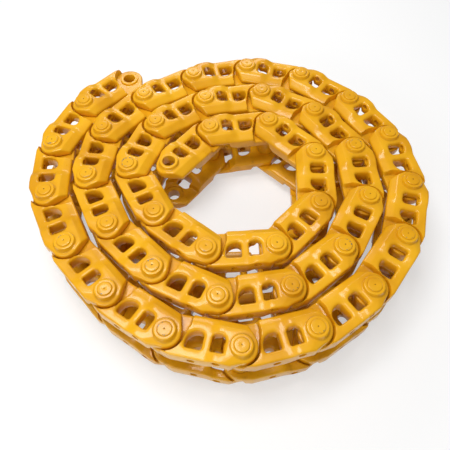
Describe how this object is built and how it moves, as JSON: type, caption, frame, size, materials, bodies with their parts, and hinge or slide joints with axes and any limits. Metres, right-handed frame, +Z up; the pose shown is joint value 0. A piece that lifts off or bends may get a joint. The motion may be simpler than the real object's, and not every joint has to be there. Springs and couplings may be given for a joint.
{
  "type": "excavator track chain",
  "caption": "Track chain of a crawler excavator coiled on its side: mirrored pairs of offset forged links, hinged by pins that turn in bushings, with bolt holes for shoes.",
  "frame": {"origin": "centre of the bore of the bushing at the chain's outer end, on the middle plane between the links", "axes": "+X along the first section from its bushing to its pin, +Y from the pin line to the rails and to the middle of the coil, +Z up along the pins; the floor is at z = -0.106 m"},
  "size_m": [1.094, 1.1735, 0.212],
  "materials": {
    "yellow_paint": "gloss yellow-orange paint over steel, chipped on the pin ends"
  },
  "bodies": {
    "track_section_01": {"section_01_upper_link": "yellow_paint", "section_01_lower_link": "yellow_paint", "section_01_bushing": "yellow_paint", "section_01_pin": "yellow_paint", "section_01_seals": "yellow_paint"},
    "track_section_02": {"section_02_upper_link": "yellow_paint", "section_02_lower_link": "yellow_paint", "section_02_bushing": "yellow_paint", "section_02_pin": "yellow_paint", "section_02_seals": "yellow_paint"},
    "track_section_03": {"section_03_upper_link": "yellow_paint", "section_03_lower_link": "yellow_paint", "section_03_bushing": "yellow_paint", "section_03_pin": "yellow_paint", "section_03_seals": "yellow_paint"},
    "track_section_04": {"section_04_upper_link": "yellow_paint", "section_04_lower_link": "yellow_paint", "section_04_bushing": "yellow_paint", "section_04_pin": "yellow_paint", "section_04_seals": "yellow_paint"},
    "track_section_05": {"section_05": "yellow_paint"},
    "track_section_06": {"section_06": "yellow_paint"},
    "track_section_07": {"section_07": "yellow_paint"},
    "track_section_08": {"section_08": "yellow_paint"},
    "track_section_09": {"section_09": "yellow_paint"},
    "track_section_10": {"section_10": "yellow_paint"},
    "track_section_11": {"section_11": "yellow_paint"},
    "track_section_12": {"section_12": "yellow_paint"},
    "track_section_13": {"section_13": "yellow_paint"},
    "track_section_14": {"section_14": "yellow_paint"},
    "track_section_15": {"section_15": "yellow_paint"},
    "track_section_16": {"section_16": "yellow_paint"},
    "track_section_17": {"section_17": "yellow_paint"},
    "track_section_18": {"section_18": "yellow_paint"},
    "track_section_19": {"section_19": "yellow_paint"},
    "track_section_20": {"section_20": "yellow_paint"},
    "track_section_21": {"section_21": "yellow_paint"},
    "track_section_22": {"section_22": "yellow_paint"},
    "track_section_23": {"section_23": "yellow_paint"},
    "track_section_24": {"section_24": "yellow_paint"},
    "track_section_25": {"section_25": "yellow_paint"},
    "track_section_26": {"section_26": "yellow_paint"},
    "track_section_27": {"section_27": "yellow_paint"},
    "track_section_28": {"section_28": "yellow_paint"},
    "track_section_29": {"section_29": "yellow_paint"},
    "track_section_30": {"section_30": "yellow_paint"},
    "track_section_31": {"section_31": "yellow_paint"},
    "track_section_32": {"section_32": "yellow_paint"},
    "track_section_33": {"section_33": "yellow_paint"},
    "track_section_34": {"section_34": "yellow_paint"},
    "track_section_35": {"section_35": "yellow_paint"},
    "track_section_36": {"section_36": "yellow_paint"},
    "track_section_37": {"section_37": "yellow_paint"},
    "track_section_38": {"section_38": "yellow_paint"},
    "track_section_39": {"section_39_upper_link": "yellow_paint", "section_39_lower_link": "yellow_paint", "section_39_bushing": "yellow_paint"}
  },
  "joints": [
    {"name": "hinge_01", "type": "hinge", "parent": "track_section_02", "child": "track_section_01", "pos_m": [0.19, 0, 0], "axis": [0, 0, 1], "range_deg": [0, 21.39]},
    {"name": "hinge_02", "type": "hinge", "parent": "track_section_03", "child": "track_section_02", "pos_m": [0.36691, 0.06929, 0], "axis": [0, 0, 1], "range_deg": [0, 25.71]},
    {"name": "hinge_03", "type": "hinge", "parent": "track_section_04", "child": "track_section_03", "pos_m": [0.49626, 0.20846, 0], "axis": [0, 0, 1], "range_deg": [0, 22.81]},
    {"name": "hinge_04", "type": "hinge", "parent": "track_section_05", "child": "track_section_04", "pos_m": [0.56154, 0.3869, 0], "axis": [0, 0, 1], "range_deg": [0, 15.37]},
    {"name": "hinge_05", "type": "hinge", "parent": "track_section_06", "child": "track_section_05", "pos_m": [0.57719, 0.57625, 0], "axis": [0, 0, 1], "range_deg": [0, 13.96]},
    {"name": "hinge_06", "type": "hinge", "parent": "track_section_07", "child": "track_section_06", "pos_m": [0.5467, 0.76379, 0], "axis": [0, 0, 1], "range_deg": [0, 21.54]},
    {"name": "hinge_07", "type": "hinge", "parent": "track_section_08", "child": "track_section_07", "pos_m": [0.44948, 0.92703, 0], "axis": [0, 0, 1], "range_deg": [0, 25.67]},
    {"name": "hinge_08", "type": "hinge", "parent": "track_section_09", "child": "track_section_08", "pos_m": [0.29115, 1.03206, 0], "axis": [0, 0, 1], "range_deg": [0, 21.53]},
    {"name": "hinge_09", "type": "hinge", "parent": "track_section_10", "child": "track_section_09", "pos_m": [0.10532, 1.07165, 0], "axis": [0, 0, 1], "range_deg": [0, 17.6]},
    {"name": "hinge_10", "type": "hinge", "parent": "track_section_11", "child": "track_section_10", "pos_m": [-0.08378, 1.05322, 0], "axis": [0, 0, 1], "range_deg": [0, 21.44]},
    {"name": "hinge_11", "type": "hinge", "parent": "track_section_12", "child": "track_section_11", "pos_m": [-0.25306, 0.96694, 0], "axis": [0, 0, 1], "range_deg": [0, 25.61]},
    {"name": "hinge_12", "type": "hinge", "parent": "track_section_13", "child": "track_section_12", "pos_m": [-0.36844, 0.81599, 0], "axis": [0, 0, 1], "range_deg": [0, 22.71]},
    {"name": "hinge_13", "type": "hinge", "parent": "track_section_14", "child": "track_section_13", "pos_m": [-0.41659, 0.63219, 0], "axis": [0, 0, 1], "range_deg": [0, 19.75]},
    {"name": "hinge_14", "type": "hinge", "parent": "track_section_15", "child": "track_section_14", "pos_m": [-0.3998, 0.44293, 0], "axis": [0, 0, 1], "range_deg": [0, 24.35]},
    {"name": "hinge_15", "type": "hinge", "parent": "track_section_16", "child": "track_section_15", "pos_m": [-0.30645, 0.27745, 0], "axis": [0, 0, 1], "range_deg": [0, 26.27]},
    {"name": "hinge_16", "type": "hinge", "parent": "track_section_17", "child": "track_section_16", "pos_m": [-0.14949, 0.17038, 0], "axis": [0, 0, 1], "range_deg": [0, 19.02]},
    {"name": "hinge_17", "type": "hinge", "parent": "track_section_18", "child": "track_section_17", "pos_m": [0.0338, 0.12032, 0], "axis": [0, 0, 1], "range_deg": [0, 19.85]},
    {"name": "hinge_18", "type": "hinge", "parent": "track_section_19", "child": "track_section_18", "pos_m": [0.2232, 0.13549, 0], "axis": [0, 0, 1], "range_deg": [0, 31.81]},
    {"name": "hinge_19", "type": "hinge", "parent": "track_section_20", "child": "track_section_19", "pos_m": [0.37615, 0.2482, 0], "axis": [0, 0, 1], "range_deg": [0, 32.62]},
    {"name": "hinge_20", "type": "hinge", "parent": "track_section_21", "child": "track_section_20", "pos_m": [0.44422, 0.42559, 0], "axis": [0, 0, 1], "range_deg": [0, 18.97]},
    {"name": "hinge_21", "type": "hinge", "parent": "track_section_22", "child": "track_section_21", "pos_m": [0.45093, 0.61547, 0], "axis": [0, 0, 1], "range_deg": [0, 19.22]},
    {"name": "hinge_22", "type": "hinge", "parent": "track_section_22", "child": "track_section_23", "pos_m": [0.39475, 0.79697, 0], "axis": [0, 0, -1], "range_deg": [0, 33.73]},
    {"name": "hinge_23", "type": "hinge", "parent": "track_section_23", "child": "track_section_24", "pos_m": [0.24725, 0.91673, 0], "axis": [0, 0, -1], "range_deg": [0, 29.41]},
    {"name": "hinge_24", "type": "hinge", "parent": "track_section_24", "child": "track_section_25", "pos_m": [0.05994, 0.94864, 0], "axis": [0, 0, -1], "range_deg": [0, 23.09]},
    {"name": "hinge_25", "type": "hinge", "parent": "track_section_25", "child": "track_section_26", "pos_m": [-0.12487, 0.90453, 0], "axis": [0, 0, -1], "range_deg": [0, 33.16]},
    {"name": "hinge_26", "type": "hinge", "parent": "track_section_26", "child": "track_section_27", "pos_m": [-0.25546, 0.76653, 0], "axis": [0, 0, -1], "range_deg": [0, 31.45]},
    {"name": "hinge_27", "type": "hinge", "parent": "track_section_27", "child": "track_section_28", "pos_m": [-0.29487, 0.58066, 0], "axis": [0, 0, -1], "range_deg": [0, 27.4]},
    {"name": "hinge_28", "type": "hinge", "parent": "track_section_28", "child": "track_section_29", "pos_m": [-0.24433, 0.3975, 0], "axis": [0, 0, -1], "range_deg": [0, 36.81]},
    {"name": "hinge_29", "type": "hinge", "parent": "track_section_29", "child": "track_section_30", "pos_m": [-0.09413, 0.28114, 0], "axis": [0, 0, -1], "range_deg": [0, 25.1]},
    {"name": "hinge_30", "type": "hinge", "parent": "track_section_30", "child": "track_section_31", "pos_m": [0.09124, 0.23948, 0], "axis": [0, 0, -1], "range_deg": [0, 34.1]},
    {"name": "hinge_31", "type": "hinge", "parent": "track_section_31", "child": "track_section_32", "pos_m": [0.26809, 0.30894, 0], "axis": [0, 0, -1], "range_deg": [0, 49.9]},
    {"name": "hinge_32", "type": "hinge", "parent": "track_section_32", "child": "track_section_33", "pos_m": [0.32889, 0.48895, 0], "axis": [0, 0, -1], "range_deg": [0, 23]},
    {"name": "hinge_33", "type": "hinge", "parent": "track_section_33", "child": "track_section_34", "pos_m": [0.31453, 0.6784, 0], "axis": [0, 0, -1], "range_deg": [0, 41.44]},
    {"name": "hinge_34", "type": "hinge", "parent": "track_section_34", "child": "track_section_35", "pos_m": [0.17838, 0.81093, 0], "axis": [0, 0, -1], "range_deg": [0, 42.76]},
    {"name": "hinge_35", "type": "hinge", "parent": "track_section_35", "child": "track_section_36", "pos_m": [-0.01155, 0.81579, 0], "axis": [0, 0, -1], "range_deg": [0, 42.64]},
    {"name": "hinge_36", "type": "hinge", "parent": "track_section_36", "child": "track_section_37", "pos_m": [-0.15456, 0.6907, 0], "axis": [0, 0, -1], "range_deg": [0, 47.75]},
    {"name": "hinge_37", "type": "hinge", "parent": "track_section_37", "child": "track_section_38", "pos_m": [-0.15811, 0.50073, 0], "axis": [0, 0, -1], "range_deg": [0, 52.59]},
    {"name": "hinge_38", "type": "hinge", "parent": "track_section_38", "child": "track_section_39", "pos_m": [-0.00938, 0.3825, 0], "axis": [0, 0, -1], "range_deg": [0, 41.99]}
  ],
  "couplings": [
    {"joint": "hinge_01", "follows": "hinge_21", "ratio": 1.1127},
    {"joint": "hinge_02", "follows": "hinge_21", "ratio": 1.3375},
    {"joint": "hinge_03", "follows": "hinge_21", "ratio": 1.1866},
    {"joint": "hinge_04", "follows": "hinge_21", "ratio": 0.79968},
    {"joint": "hinge_05", "follows": "hinge_21", "ratio": 0.72626},
    {"joint": "hinge_06", "follows": "hinge_21", "ratio": 1.1206},
    {"joint": "hinge_07", "follows": "hinge_21", "ratio": 1.3353},
    {"joint": "hinge_08", "follows": "hinge_21", "ratio": 1.1202},
    {"joint": "hinge_09", "follows": "hinge_21", "ratio": 0.91539},
    {"joint": "hinge_10", "follows": "hinge_21", "ratio": 1.1152},
    {"joint": "hinge_11", "follows": "hinge_21", "ratio": 1.3321},
    {"joint": "hinge_12", "follows": "hinge_21", "ratio": 1.1814},
    {"joint": "hinge_13", "follows": "hinge_21", "ratio": 1.0277},
    {"joint": "hinge_14", "follows": "hinge_21", "ratio": 1.267},
    {"joint": "hinge_15", "follows": "hinge_21", "ratio": 1.3669},
    {"joint": "hinge_16", "follows": "hinge_21", "ratio": 0.9897},
    {"joint": "hinge_17", "follows": "hinge_21", "ratio": 1.0329},
    {"joint": "hinge_18", "follows": "hinge_21", "ratio": 1.6548},
    {"joint": "hinge_19", "follows": "hinge_21", "ratio": 1.6971},
    {"joint": "hinge_20", "follows": "hinge_21", "ratio": 0.9869},
    {"joint": "hinge_22", "follows": "hinge_21", "ratio": 1.7547},
    {"joint": "hinge_23", "follows": "hinge_21", "ratio": 1.5298},
    {"joint": "hinge_24", "follows": "hinge_21", "ratio": 1.2013},
    {"joint": "hinge_25", "follows": "hinge_21", "ratio": 1.7249},
    {"joint": "hinge_26", "follows": "hinge_21", "ratio": 1.6362},
    {"joint": "hinge_27", "follows": "hinge_21", "ratio": 1.4252},
    {"joint": "hinge_28", "follows": "hinge_21", "ratio": 1.9148},
    {"joint": "hinge_29", "follows": "hinge_21", "ratio": 1.306},
    {"joint": "hinge_30", "follows": "hinge_21", "ratio": 1.7743},
    {"joint": "hinge_31", "follows": "hinge_21", "ratio": 2.5958},
    {"joint": "hinge_32", "follows": "hinge_21", "ratio": 1.1964},
    {"joint": "hinge_33", "follows": "hinge_21", "ratio": 2.1557},
    {"joint": "hinge_34", "follows": "hinge_21", "ratio": 2.2248},
    {"joint": "hinge_35", "follows": "hinge_21", "ratio": 2.2184},
    {"joint": "hinge_36", "follows": "hinge_21", "ratio": 2.4843},
    {"joint": "hinge_37", "follows": "hinge_21", "ratio": 2.736},
    {"joint": "hinge_38", "follows": "hinge_21", "ratio": 2.1845}
  ]
}
